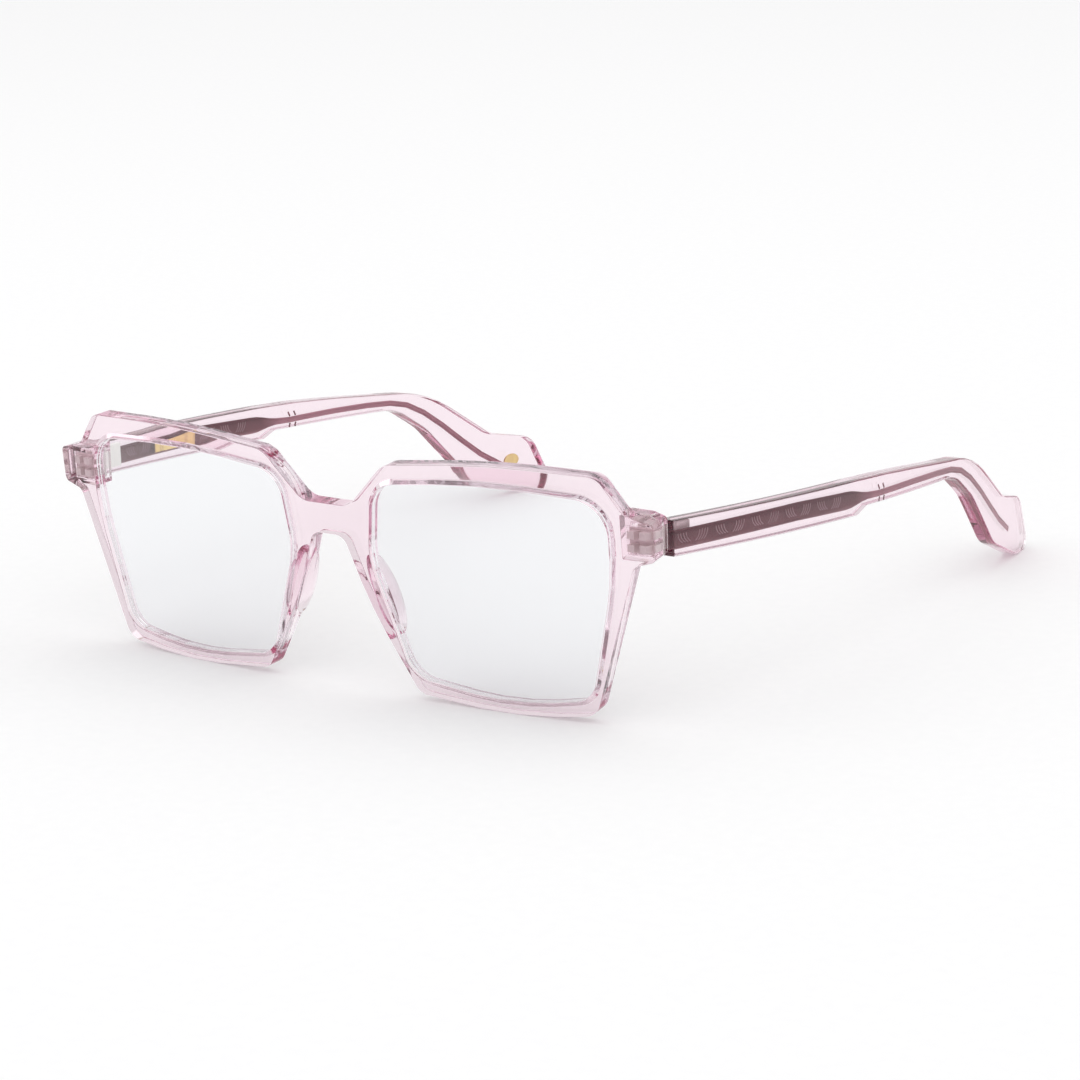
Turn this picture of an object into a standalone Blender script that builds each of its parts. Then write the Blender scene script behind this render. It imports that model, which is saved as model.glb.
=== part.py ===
"""Blue light glasses: an acetate frame front, two lenses, two nose pads, and two folding temples.

Each temple turns on a five-knuckle hinge with one screw, and holds a flat metal core that runs into
a wire. Lengths are in metres. X runs from the wearer's right to the wearer's left, Y from the front
to the ear tips, and Z is up. The origin is on the table, under the middle of the glasses.

The front is drawn flat, in (across, depth, up), and is then wrapped onto a leaning cylinder. A temple
is drawn flat in (across, back, up), and is then bowed outwards.
"""

import math

import bmesh
import bpy
from mathutils import Matrix, Vector

MM = 0.001

# Frame front
FRONT_Y = -73.25 * MM  # the bridge's front face, at table height
FRONT_THICKNESS = 3.6 * MM
FRONT_DEPTH = 9.0 * MM  # the blank that the front and its end pieces are cut from
WRAP_RADIUS = 460 * MM
LEAN = math.radians(4.55)
EDGE_ROUNDING = 0.5 * MM
# Where the flat front is folded as it is wrapped: the middle facet holds the bridge
FRONT_FOLDS = [5.7 * MM * (i - 12.5) for i in range(1, 25)]

# Corners of the right half, outside: (across, up, radius of the corner), in millimetres
FRONT_CORNERS = (
    (5.4, 36.2, 4.0),
    (14.0, 45.0, 4.5),
    (37.0, 47.2, 150.0),
    (58.9, 46.7, 3.2),
    (63.6, 40.2, 3.0),
    (69.4, 38.7, 1.0),
    (69.3, 32.0, 1.2),
    (64.9, 30.7, 1.8),
    (55.3, 1.6, 3.6),
    (39.0, -0.43, 120.0),
    (17.9, 1.4, 3.0),
    (8.6, 17.0, 60.0),
    (3.6, 30.3, 3.2),
)
OPENING_CORNERS = (
    (10.9, 40.9, 6.0),
    (34.0, 43.3, 120.0),
    (60.0, 42.0, 6.5),
    (60.6, 29.0, 45.0),
    (54.6, 4.4, 5.0),
    (38.0, 1.6, 60.0),
    (16.5, 4.3, 6.0),
    (9.0, 26.4, 14.0),
)

# Lenses
LENS_THICKNESS = 2.0 * MM
LENS_DEPTH = 1.8 * MM  # the lens's middle, behind the rim's front face
GROOVE_DEPTH = 0.9 * MM
GROOVE_WIDTH = 1.6 * MM
LENS_BEVEL = 0.55 * MM  # how far the lens edge reaches into the groove
GAP = 0.3 * MM

# Nose pads
PAD_CENTRE = (10.2 * MM, 19.0 * MM)  # across, up
PAD_SIZE = (4.0 * MM, 3.0 * MM, 16.0 * MM)
PAD_LEAN = math.radians(-20)  # the top of each pad is nearer the bridge

# End pieces and hinges
JOINT_Y = FRONT_Y + 7.9 * MM
END_PIECE_INNER = 61.8 * MM
END_PIECE_BOTTOM = 31.3 * MM
END_PIECE_TOP = 39.4 * MM
HINGE_X = 64.2 * MM
HINGE_Y = JOINT_Y + GAP
HINGE_Z = 35.0 * MM
KNUCKLE_RADIUS = 1.3 * MM
KNUCKLE_HEIGHT = 0.94 * MM
KNUCKLE_GAP = 0.10 * MM
KNUCKLES = 5
BORE_RADIUS = 0.64 * MM
SCREW_RADIUS = 0.55 * MM
SCREW_HEAD_RADIUS = 1.1 * MM
SCREW_HEAD_HEIGHT = 0.55 * MM
SCREW_SLOT = 0.3 * MM
LEAF_ROOM = 0.15 * MM  # how much lower a leaf's plate is than its stack of knuckles, at each end
FRONT_LEAF_X = (62.2 * MM, 67.4 * MM)
FRONT_LEAF_THICKNESS = 0.9 * MM
ANCHOR_X = (63.6 * MM, 66.1 * MM)
ANCHOR_UP = 1.2 * MM  # from the hinge's middle
ANCHOR_HALF = 0.7 * MM
ANCHOR_LENGTH = 3.4 * MM
TEMPLE_LEAF_THICKNESS = 1.0 * MM
TEMPLE_LEAF_START = 0.5 * MM  # behind the hinge's axis
TEMPLE_LEAF_LENGTH = 7.0 * MM
ROUND_SEGMENTS = 24

# Temples
TEMPLE_THICKNESS = 3.6 * MM
TEMPLE_MIDDLE = 71.8 * MM  # the widest point of the bow, across
TEMPLE_BOW_Y = FRONT_Y + 62 * MM
TEMPLE_BOW_RADIUS = 352 * MM
TEMPLE_FOLDS = [8.0 * MM * i for i in range(1, 19)]
# Side outline: (back, up, radius), in millimetres behind FRONT_Y
TEMPLE_CORNERS = (
    (8.2, 38.3, 0.4),
    (75.0, 33.2, 400.0),
    (115.5, 27.6, 30.0),
    (133.9, 14.9, 7.0),
    (145.6, 12.1, 5.0),
    (151.4, -0.05, 3.5),
    (143.0, 0.05, 14.0),
    (126.8, 6.7, 9.0),
    (114.4, 19.6, 14.0),
    (105.4, 25.6, 12.0),
    (85.0, 27.1, 150.0),
    (67.8, 28.35, 2.5),
    (64.3, 27.2, 1.6),
    (8.2, 31.7, 0.4),
)
CORE_THICKNESS = 1.2 * MM
# The core along its length: (back, up, half its height), in millimetres
CORE_STATIONS = (
    (8.6, 34.5, 1.75),
    (30.0, 33.2, 1.75),
    (45.0, 32.2, 1.75),
    (62.5, 30.5, 1.70),
    (68.5, 30.0, 0.75),
    (73.0, 29.5, 0.55),
    (88.0, 28.6, 0.55),
    (98.0, 27.8, 0.55),
    (105.0, 27.0, 0.55),
    (110.0, 25.7, 0.55),
    (115.0, 23.1, 0.55),
    (120.5, 19.2, 0.55),
    (126.0, 14.8, 0.55),
    (131.5, 10.6, 0.55),
    (137.5, 7.0, 0.55),
)

CORE_BEND = 9  # the station where the wire starts to bend down

# Inlays of the wearer's right temple
PLATE_BACK = (29.2, 43.2)
PLATE_HEIGHT = 2.4 * MM
INLAY_THICKNESS = 0.40 * MM
INLAY_RECESS = 0.55 * MM
TIP_INLAY_BACK = 139.2
TIP_INLAY_UP = 7.8
TIP_INLAY_RADII = (2.1 * MM, 1.5 * MM)

SIDES = (("left", 1), ("right", -1))
SHARP_ANGLE = math.radians(32)


# ---------------------------------------------------------------------------- scene and materials


def clear_scene():
    for item in list(bpy.data.objects):
        bpy.data.objects.remove(item)


def new_collection(name, rendered=True):
    collection = bpy.data.collections.new(name)
    bpy.context.scene.collection.children.link(collection)
    collection.hide_render = not rendered
    return collection


def material(name, colour, roughness, metallic=0.0, alpha=1.0):
    made = bpy.data.materials.new(name)
    made.use_nodes = True
    shader = made.node_tree.nodes["Principled BSDF"]
    shader.inputs["Base Color"].default_value = (*colour, 1)
    shader.inputs["Roughness"].default_value = roughness
    shader.inputs["Metallic"].default_value = metallic
    shader.inputs["Alpha"].default_value = alpha
    return made


clear_scene()
PARTS = new_collection("blue_light_glasses")
CUTTERS = new_collection("cutters", rendered=False)
ACETATE = material("rose_acetate", (0.92, 0.72, 0.77), 0.12, alpha=0.55)
LENS = material("clear_lens", (0.93, 0.95, 0.98), 0.03, alpha=0.2)
STEEL = material("hinge_steel", (0.78, 0.78, 0.80), 0.22, metallic=1.0)
CORE = material("mauve_core", (0.45, 0.34, 0.37), 0.35, metallic=0.9)
GOLD = material("gold_inlay", (0.83, 0.62, 0.32), 0.28, metallic=1.0)


def add_object(name, mesh, surface, collection=None):
    item = bpy.data.objects.new(name, mesh)
    (collection or PARTS).objects.link(item)
    if collection is CUTTERS:
        item.hide_render = True
        item.display_type = "WIRE"
    mesh.materials.clear()
    if surface:
        mesh.materials.append(surface)
    return item


def mesh_of(shape, name):
    """The bmesh as a new mesh, with its faces pointing outwards."""
    bmesh.ops.recalc_face_normals(shape, faces=shape.faces)
    mesh = bpy.data.meshes.new(name)
    shape.to_mesh(mesh)
    shape.free()
    return mesh


# ---------------------------------------------------------------------------- outlines


def rounded(corners, step=math.radians(14)):
    """The outline through the corners (a, b, radius in mm), each replaced by an arc, in metres."""
    points = []
    for i, (a, b, radius) in enumerate(corners):
        corner = Vector((a, b))
        before = Vector(corners[i - 1][:2]) - corner
        after = Vector(corners[(i + 1) % len(corners)][:2]) - corner
        half = before.angle(after) / 2
        reach = min(radius / math.tan(half), 0.49 * before.length, 0.49 * after.length)
        radius = reach * math.tan(half)
        centre = corner + (before.normalized() + after.normalized()).normalized() * (radius / math.sin(half))
        start = corner + before.normalized() * reach - centre
        sweep = start.angle_signed(corner + after.normalized() * reach - centre)
        count = max(2, math.ceil(abs(sweep) / step))
        for k in range(count + 1):
            points.append((centre + Matrix.Rotation(-sweep * k / count, 2) @ start) * MM)
    return points


def whole_front():
    """The front's outline on both sides of the bridge."""
    half = rounded(FRONT_CORNERS)
    return half + [Vector((-p.x, p.y)) for p in reversed(half)]


def offset(points, distance):
    """The outline moved outwards by a distance."""
    area = sum(p.cross(q) for p, q in zip(points, points[1:] + points[:1]))
    turn = math.copysign(1, area)
    moved = []
    for i, p in enumerate(points):
        along = (points[(i + 1) % len(points)] - points[i - 1]).normalized()
        moved.append(p + Vector((along.y, -along.x)) * distance * turn)
    return moved


def prism(levels, place):
    """A closed solid through outlines with the same number of points: (depth, outline) pairs."""
    shape = bmesh.new()
    rings = [[shape.verts.new(place(p, depth)) for p in outline] for depth, outline in levels]
    loops = []
    for ring in rings:
        loops.append([shape.edges.new((a, b)) for a, b in zip(ring, ring[1:] + ring[:1])])
    for low, high in zip(loops, loops[1:]):
        bmesh.ops.bridge_loops(shape, edges=low + high)
    shape.faces.new(rings[0])
    shape.faces.new(rings[-1])
    return shape


def in_front(point, depth):
    """(across, up) on the flat front, at a depth behind its face."""
    return (point.x, depth, point.y)


def in_side(point, across):
    """(back, up) on the flat temple, at a distance across it."""
    return (across, point.x, point.y)


# ---------------------------------------------------------------------------- from flat to curved


def wrap_front(co):
    """A point of the flat front (across, depth, up) on the leaning, wrapped one."""
    slope = co.x / WRAP_RADIUS
    normal = Vector((-slope, 1, math.tan(LEAN))).normalized()
    face = Vector((co.x, co.x * slope / 2 - co.z * math.sin(LEAN), co.z * math.cos(LEAN)))
    return face + normal * co.y + Vector((0, FRONT_Y, 0))


def temple_centre(y):
    """How far the middle of a temple's thickness is from the middle of the glasses."""
    return TEMPLE_MIDDLE - (y - TEMPLE_BOW_Y) ** 2 / (2 * TEMPLE_BOW_RADIUS)


def temple_inner():
    """How far the temple's inner face is from the middle of the glasses, at the hinge."""
    return temple_centre(HINGE_Y) - TEMPLE_THICKNESS / 2


def bow_temple(co):
    """A point of the flat temple (across its middle, back, up) on the bowed one."""
    y = co.y + FRONT_Y
    return Vector((co.x + temple_centre(y), y, co.z))


def curved(item, place, axis, folds):
    """The object's evaluated mesh, cut across at each fold along an axis and then moved by place()."""
    graph = bpy.context.evaluated_depsgraph_get()
    shape = bmesh.new()
    shape.from_mesh(item.evaluated_get(graph).to_mesh())
    bmesh.ops.remove_doubles(shape, verts=shape.verts, dist=1e-6)
    normal = Vector((0, 0, 0))
    normal[axis] = 1
    for fold in folds:
        parts = shape.verts[:] + shape.edges[:] + shape.faces[:]
        bmesh.ops.bisect_plane(shape, geom=parts, dist=1e-6, plane_co=normal * fold, plane_no=normal)
    bmesh.ops.remove_doubles(shape, verts=shape.verts, dist=1e-6)
    bmesh.ops.triangulate(shape, faces=shape.faces)
    for vert in shape.verts:
        vert.co = place(vert.co)
    return mesh_of(shape, item.name)


def mirrored(mesh, side):
    """The mesh itself on the wearer's left, and its mirror image on the wearer's right."""
    if side > 0:
        return mesh
    shape = bmesh.new()
    shape.from_mesh(mesh)
    shape.transform(Matrix.Diagonal((-1, 1, 1, 1)))
    bmesh.ops.reverse_faces(shape, faces=shape.faces)
    return mesh_of(shape, mesh.name)


def boolean(item, other, operation="DIFFERENCE"):
    step = item.modifiers.new(other.name, "BOOLEAN")
    step.operation = operation
    step.object = other


def round_edges(item, width, segments=2):
    step = item.modifiers.new("rounded edges", "BEVEL")
    step.width = width
    step.segments = segments
    step.limit_method = "ANGLE"
    step.angle_limit = math.radians(45)


# ---------------------------------------------------------------------------- simple solids


def add_box(shape, low, high):
    size = Vector(high) - Vector(low)
    place = Matrix.Translation((Vector(high) + Vector(low)) / 2) @ Matrix.Diagonal((*size, 1))
    bmesh.ops.create_cube(shape, size=1, matrix=place)


def add_cylinder(shape, centre, radius, height, segments=ROUND_SEGMENTS):
    place = Matrix.Translation(centre)
    bmesh.ops.create_cone(
        shape, cap_ends=True, segments=segments, radius1=radius, radius2=radius, depth=height, matrix=place
    )


def box_object(name, low, high, collection):
    shape = bmesh.new()
    add_box(shape, low, high)
    return add_object(name, mesh_of(shape, name), None, collection)


# ---------------------------------------------------------------------------- frame front


def milling_cutter():
    """Everything behind the rims, apart from the two end pieces."""
    corners = (
        (-80, 60, 0.01), (80, 60, 0.01), (80, END_PIECE_TOP / MM, 0.01),
        (END_PIECE_INNER / MM, END_PIECE_TOP / MM, 1.0), (END_PIECE_INNER / MM, END_PIECE_BOTTOM / MM, 1.0),
        (80, END_PIECE_BOTTOM / MM, 0.01), (80, -10, 0.01), (-80, -10, 0.01),
        (-80, END_PIECE_BOTTOM / MM, 0.01), (-END_PIECE_INNER / MM, END_PIECE_BOTTOM / MM, 1.0),
        (-END_PIECE_INNER / MM, END_PIECE_TOP / MM, 1.0), (-80, END_PIECE_TOP / MM, 0.01),
    )
    outline = rounded(corners, math.radians(30))
    shape = prism(((FRONT_THICKNESS, outline), (2 * FRONT_DEPTH, outline)), in_front)
    return add_object("milling", mesh_of(shape, "milling"), None, CUTTERS)


def opening_outline(side, step=math.radians(14)):
    half = rounded(OPENING_CORNERS, step)
    return half if side > 0 else [Vector((-p.x, p.y)) for p in half]


def opening_cutter(side):
    outline = opening_outline(side)
    shape = prism(((-5 * MM, outline), (2 * FRONT_DEPTH, outline)), in_front)
    return add_object("opening", mesh_of(shape, "opening"), None, CUTTERS)


def groove_cutter(side):
    """The V-shaped groove that holds the lens, as a disc with a sharp rim."""
    outline = opening_outline(side, math.radians(17))
    inner = offset(outline, -0.4 * MM)
    outer = offset(outline, GROOVE_DEPTH)
    reach = GROOVE_WIDTH / 2 * (1 + 0.4 * MM / GROOVE_DEPTH)
    levels = ((LENS_DEPTH - reach, inner), (LENS_DEPTH, outer), (LENS_DEPTH + reach, inner))
    return add_object("groove", mesh_of(prism(levels, in_front), "groove"), None, CUTTERS)


def make_front():
    outline = whole_front()
    shape = prism(((0, outline), (FRONT_DEPTH, outline)), in_front)
    blank = add_object("front_blank", mesh_of(shape, "front_blank"), ACETATE, CUTTERS)
    boolean(blank, milling_cutter())
    for _, side in SIDES:
        boolean(blank, opening_cutter(side))
    round_edges(blank, EDGE_ROUNDING)
    for _, side in SIDES:
        boolean(blank, groove_cutter(side))
    mesh = curved(blank, wrap_front, 0, FRONT_FOLDS)
    front = add_object("front_frame", mesh, ACETATE)
    trim = box_object("joint_trim", (-90 * MM, JOINT_Y, 0), (90 * MM, JOINT_Y + 20 * MM, 60 * MM), CUTTERS)
    boolean(front, trim)
    for name, side in SIDES:
        boolean(front, leaf_pocket(name, side))
    return front


def leaf_pocket(name, side):
    """The recess in the end piece's rear face for the hinge leaf and its four anchors."""
    mesh = front_leaf_blocks(GAP)
    return add_object("leaf_pocket_" + name, mirrored(mesh, side), None, CUTTERS)


# ---------------------------------------------------------------------------- lenses and pads


def make_lens(name, side):
    outline = opening_outline(side)
    body = offset(outline, -GAP)
    edge = offset(outline, LENS_BEVEL)
    half = LENS_THICKNESS / 2
    slope = 0.35 * MM
    levels = (
        (LENS_DEPTH - half, body), (LENS_DEPTH - slope, body), (LENS_DEPTH, edge),
        (LENS_DEPTH + slope, body), (LENS_DEPTH + half, body),
    )
    shape = prism(levels, in_front)
    blank = add_object("lens_blank", mesh_of(shape, "lens_blank"), LENS, CUTTERS)
    mesh = curved(blank, wrap_front, 0, FRONT_FOLDS)
    return add_object("lens_" + name, mesh, LENS)


def make_pad(name, side):
    """A nose pad: a drop-shaped lump on the rear of the rim, cut flat where it is bonded on."""
    shape = bmesh.new()
    bmesh.ops.create_uvsphere(shape, u_segments=16, v_segments=10, radius=0.5)
    width, depth, height = PAD_SIZE
    shape.transform(Matrix.Diagonal((width, 2 * depth, height, 1)))
    shape.transform(Matrix.Rotation(PAD_LEAN * side, 4, "Y"))
    floor = FRONT_THICKNESS + GAP
    shape.transform(Matrix.Translation((PAD_CENTRE[0] * side, floor, PAD_CENTRE[1])))
    parts = shape.verts[:] + shape.edges[:] + shape.faces[:]
    where = Vector((0, floor, 0))
    cut = bmesh.ops.bisect_plane(
        shape, geom=parts, dist=1e-7, plane_co=where, plane_no=(0, 1, 0), clear_inner=True
    )
    rim = [item for item in cut["geom_cut"] if isinstance(item, bmesh.types.BMEdge)]
    bmesh.ops.contextual_create(shape, geom=rim)
    for vert in shape.verts:
        vert.co = wrap_front(vert.co)
    return add_object("nose_pad_" + name, mesh_of(shape, "nose_pad_" + name), ACETATE)


# ---------------------------------------------------------------------------- hinges


def knuckle_levels():
    """The height of each knuckle's middle, from the top one down."""
    pitch = KNUCKLE_HEIGHT + KNUCKLE_GAP
    return [HINGE_Z + pitch * ((KNUCKLES - 1) / 2 - i) for i in range(KNUCKLES)]


def hinge_height():
    return KNUCKLES * KNUCKLE_HEIGHT + (KNUCKLES - 1) * KNUCKLE_GAP


def front_leaf_blocks(margin=0.0):
    """The front leaf's plate and four anchors, or with a margin the recess that they sit in."""
    shape = bmesh.new()
    half = hinge_height() / 2 - LEAF_ROOM + margin
    face = JOINT_Y - GAP
    rear = JOINT_Y + 1 * MM if margin else face
    low = (FRONT_LEAF_X[0] - margin, face - FRONT_LEAF_THICKNESS - margin, HINGE_Z - half)
    add_box(shape, low, (FRONT_LEAF_X[1] + margin, rear, HINGE_Z + half))
    blocks = anchor_boxes(margin)
    if margin:
        reach = SCREW_HEAD_RADIUS + 2 * margin
        head_top = HINGE_Z + hinge_height() / 2 + SCREW_HEAD_HEIGHT + 2 * margin
        low = (HINGE_X - reach, HINGE_Y - reach, HINGE_Z - half - margin)
        blocks.append((low, (HINGE_X + reach, rear + 1 * MM, head_top)))
    return joined(shape, blocks)


def anchor_boxes(margin):
    low = JOINT_Y - GAP - ANCHOR_LENGTH - margin
    high = JOINT_Y - GAP - FRONT_LEAF_THICKNESS / 2
    half = ANCHOR_HALF + margin
    boxes = []
    for across in ANCHOR_X:
        for up in (HINGE_Z - ANCHOR_UP, HINGE_Z + ANCHOR_UP):
            boxes.append(((across - half, low, up - half), (across + half, high, up + half)))
    return boxes


def joined(shape, boxes):
    """The bmesh's solid, united with each of the boxes."""
    base = add_object("base", mesh_of(shape, "base"), None, CUTTERS)
    for low, high in boxes:
        boolean(base, box_object("block", low, high, CUTTERS), "UNION")
    graph = bpy.context.evaluated_depsgraph_get()
    return bpy.data.meshes.new_from_object(base.evaluated_get(graph))


def knuckle_object(level, radius, height, name="knuckle"):
    shape = bmesh.new()
    add_cylinder(shape, (HINGE_X, HINGE_Y, level), radius, height)
    return add_object(name, mesh_of(shape, name), None, CUTTERS)


def finish_leaf(name, side, mesh, own, others):
    """Adds the leaf's own knuckles, clears room for the other leaf's, and drills the screw hole."""
    base = add_object("leaf_base", mesh, STEEL, CUTTERS)
    clearance = KNUCKLE_HEIGHT + 1.2 * KNUCKLE_GAP
    for level in others:
        boolean(base, knuckle_object(level, KNUCKLE_RADIUS + 0.2 * MM, clearance))
    for level in own:
        boolean(base, knuckle_object(level, KNUCKLE_RADIUS, KNUCKLE_HEIGHT), "UNION")
    boolean(base, knuckle_object(HINGE_Z, BORE_RADIUS, 20 * MM, "bore"))
    graph = bpy.context.evaluated_depsgraph_get()
    made = bpy.data.meshes.new_from_object(base.evaluated_get(graph))
    return add_object(name, mirrored(made, side), STEEL)


def make_front_leaf(name, side):
    levels = knuckle_levels()
    return finish_leaf("front_hinge_leaf_" + name, side, front_leaf_blocks(), levels[::2], levels[1::2])


def temple_leaf_blocks(margin=0.0):
    """The temple leaf's plate, and a short arm to each of its knuckles; or the recess for the plate."""
    shape = bmesh.new()
    half = hinge_height() / 2 - 2 * LEAF_ROOM + margin
    face = temple_inner()
    start = HINGE_Y + TEMPLE_LEAF_START
    end = start + TEMPLE_LEAF_LENGTH
    if margin:
        # The recess is open towards the head and at the temple's front end.
        add_box(
            shape,
            (face - 1.7 * MM, start - 1.5 * MM, HINGE_Z - half),
            (face + TEMPLE_LEAF_THICKNESS / 2 + margin, end + margin, HINGE_Z + half),
        )
        return joined(shape, [])
    across = TEMPLE_LEAF_THICKNESS / 2
    add_box(shape, (face - across, start, HINGE_Z - half), (face + across, end, HINGE_Z + half))
    arms = []
    half = KNUCKLE_HEIGHT / 2
    for level in knuckle_levels()[1::2]:
        low = (HINGE_X, HINGE_Y + 0.2 * MM, level - half)
        arms.append((low, (face + 0.2 * MM, HINGE_Y + 1.25 * MM, level + half)))
    return joined(shape, arms)


def make_temple_leaf(name, side):
    levels = knuckle_levels()
    return finish_leaf("temple_hinge_leaf_" + name, side, temple_leaf_blocks(), levels[1::2], levels[::2])


def make_screw(name, side):
    """The hinge screw: a slotted head on a plain shank."""
    top = HINGE_Z + hinge_height() / 2 + 0.06 * MM
    length = hinge_height() + 0.3 * MM
    shank = bmesh.new()
    add_cylinder(shank, (HINGE_X, HINGE_Y, top - length / 2 + 0.1 * MM), SCREW_RADIUS, length)
    base = add_object("shank", mesh_of(shank, "shank"), STEEL, CUTTERS)
    middle = top + SCREW_HEAD_HEIGHT / 2
    boolean(base, knuckle_object(middle, SCREW_HEAD_RADIUS, SCREW_HEAD_HEIGHT, "head"), "UNION")
    low = (HINGE_X - 2 * MM, HINGE_Y - SCREW_SLOT / 2, middle)
    high = (HINGE_X + 2 * MM, HINGE_Y + SCREW_SLOT / 2, middle + 1 * MM)
    boolean(base, box_object("slot", low, high, CUTTERS))
    graph = bpy.context.evaluated_depsgraph_get()
    made = bpy.data.meshes.new_from_object(base.evaluated_get(graph))
    return add_object("hinge_screw_" + name, mirrored(made, side), STEEL)


# ---------------------------------------------------------------------------- temples

def core_outline(margin):
    """The core's side outline: its top edge and its bottom edge, from the hinge to the wire's end."""
    top, low = [], []
    for i, (back, up, half) in enumerate(CORE_STATIONS):
        middle = Vector((back, up)) * MM
        across = Vector((0, 1))
        if i >= CORE_BEND:
            slope = (Vector(CORE_STATIONS[i][:2]) - Vector(CORE_STATIONS[i - 1][:2])).normalized()
            across = Vector((-slope.y, slope.x))
        top.append(middle + across * (half * MM + margin))
        low.append(middle - across * (half * MM + margin))
    return top, low


def core_prism(margin, front_margin, surface, name, collection):
    top, low = core_outline(margin)
    top[0].x -= front_margin
    low[0].x -= front_margin
    end = (top[-1] - top[-2]).normalized() * margin
    outline = top + [top[-1] + end, low[-1] + end] + low[::-1] if margin else top + low[::-1]
    half = CORE_THICKNESS / 2 + margin
    shape = prism(((-half, outline), (half, outline)), in_side)
    return add_object(name, mesh_of(shape, name), surface, collection)


def make_core(name, side):
    blank = core_prism(0.0, 0.0, CORE, "core_blank", CUTTERS)
    mesh = curved(blank, bow_temple, 1, TEMPLE_FOLDS)
    return add_object("temple_core_" + name, mirrored(mesh, side), CORE)


def make_temple(name, side):
    outline = rounded(TEMPLE_CORNERS)
    half = TEMPLE_THICKNESS / 2
    shape = prism(((-half, outline), (half, outline)), in_side)
    blank = add_object("temple_blank", mesh_of(shape, "temple_blank"), ACETATE, CUTTERS)
    round_edges(blank, EDGE_ROUNDING)
    boolean(blank, core_prism(GAP, 5 * MM, None, "channel", CUTTERS))
    mesh = curved(blank, bow_temple, 1, TEMPLE_FOLDS)
    solid = add_object("temple_" + name, mirrored(mesh, side), ACETATE)
    pocket = mirrored(temple_leaf_blocks(GAP), side)
    boolean(solid, add_object("temple_pocket_" + name, pocket, None, CUTTERS))
    return solid


# ---------------------------------------------------------------------------- inlays


def plate_up(back):
    """The height of the core's middle at a distance back, where the plate lies over it."""
    (b0, u0, _), (b1, u1, _) = CORE_STATIONS[1:3]
    return u0 + (u1 - u0) * (back - b0) / (b1 - b0)


def inlay_plate(margin):
    """The blank name plate's outline: a strip along the core."""
    half = PLATE_HEIGHT / 2 + margin
    first, last = PLATE_BACK
    top = [Vector((b * MM, plate_up(b) * MM + half)) for b in (first - margin / MM, last + margin / MM)]
    low = [Vector((b * MM, plate_up(b) * MM - half)) for b in (first - margin / MM, last + margin / MM)]
    return top + low[::-1]


def inlay_oval(margin):
    along, up = (r + margin for r in TIP_INLAY_RADII)
    middle = Vector((TIP_INLAY_BACK, TIP_INLAY_UP)) * MM
    turns = [2 * math.pi * i / ROUND_SEGMENTS for i in range(ROUND_SEGMENTS)]
    return [middle + Vector((along * math.cos(t), up * math.sin(t))) for t in turns]


def inlay_solid(name, outline, low, high, surface, collection):
    """A thin plate in the inner face of the right temple."""
    face = -TEMPLE_THICKNESS / 2
    shape = prism(((face + low, outline), (face + high, outline)), in_side)
    blank = add_object(name + "_blank", mesh_of(shape, name), surface, CUTTERS)
    mesh = curved(blank, bow_temple, 1, TEMPLE_FOLDS)
    return add_object(name, mirrored(mesh, -1), surface, collection)


def make_inlays(temple):
    """The plate and the oval, each in a recess of the temple."""
    gap = INLAY_RECESS - INLAY_THICKNESS
    made = []
    for name, outline in (("inlay_plate_right", inlay_plate), ("tip_inlay_right", inlay_oval)):
        recess = inlay_solid(name + "_recess", outline(gap), -1 * MM, INLAY_RECESS, None, CUTTERS)
        boolean(temple, recess)
        made.append(inlay_solid(name, outline(0), 0, INLAY_THICKNESS, GOLD, PARTS))
    return made


# ---------------------------------------------------------------------------- assembly


def settle(item):
    """Applies the modifiers, and shades round surfaces smooth and edges sharp."""
    graph = bpy.context.evaluated_depsgraph_get()
    item.data = bpy.data.meshes.new_from_object(item.evaluated_get(graph))
    item.modifiers.clear()
    item.data.shade_smooth()
    item.data.set_sharp_from_angle(angle=SHARP_ANGLE)


def add_pivot(name, side, moving):
    """An empty on the hinge's axis, which carries the temple and everything that turns with it."""
    pivot = bpy.data.objects.new("hinge_axis_" + name, None)
    pivot.empty_display_size = 10 * MM
    pivot.location = (HINGE_X * side, HINGE_Y, HINGE_Z)
    PARTS.objects.link(pivot)
    for item in moving:
        item.parent = pivot
        item.matrix_parent_inverse = Matrix.Translation(pivot.location).inverted()


def main():
    make_front()
    for name, side in SIDES:
        make_lens(name, side)
        make_pad(name, side)
        make_front_leaf(name, side)
        make_screw(name, side)
        moving = [make_temple_leaf(name, side), make_core(name, side), make_temple(name, side)]
        if name == "right":
            moving += make_inlays(moving[-1])
        add_pivot(name, side, moving)
    for item in PARTS.objects:
        if item.type == "MESH":
            settle(item)


main()
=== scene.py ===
# %% [markdown]
# # Blue light glasses in rose acetate
# The glasses have a clear rose front, two clear lenses, and two temples that fold. Each temple holds a
# metal core that shows through the plastic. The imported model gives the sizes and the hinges. This
# script makes the large pieces again with finer shapes, keeps the small metal ones, and gives them all
# glass, metal and gilt finishes.

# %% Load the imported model
import math

import bmesh
import bpy
from mathutils import Matrix, Vector


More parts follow.
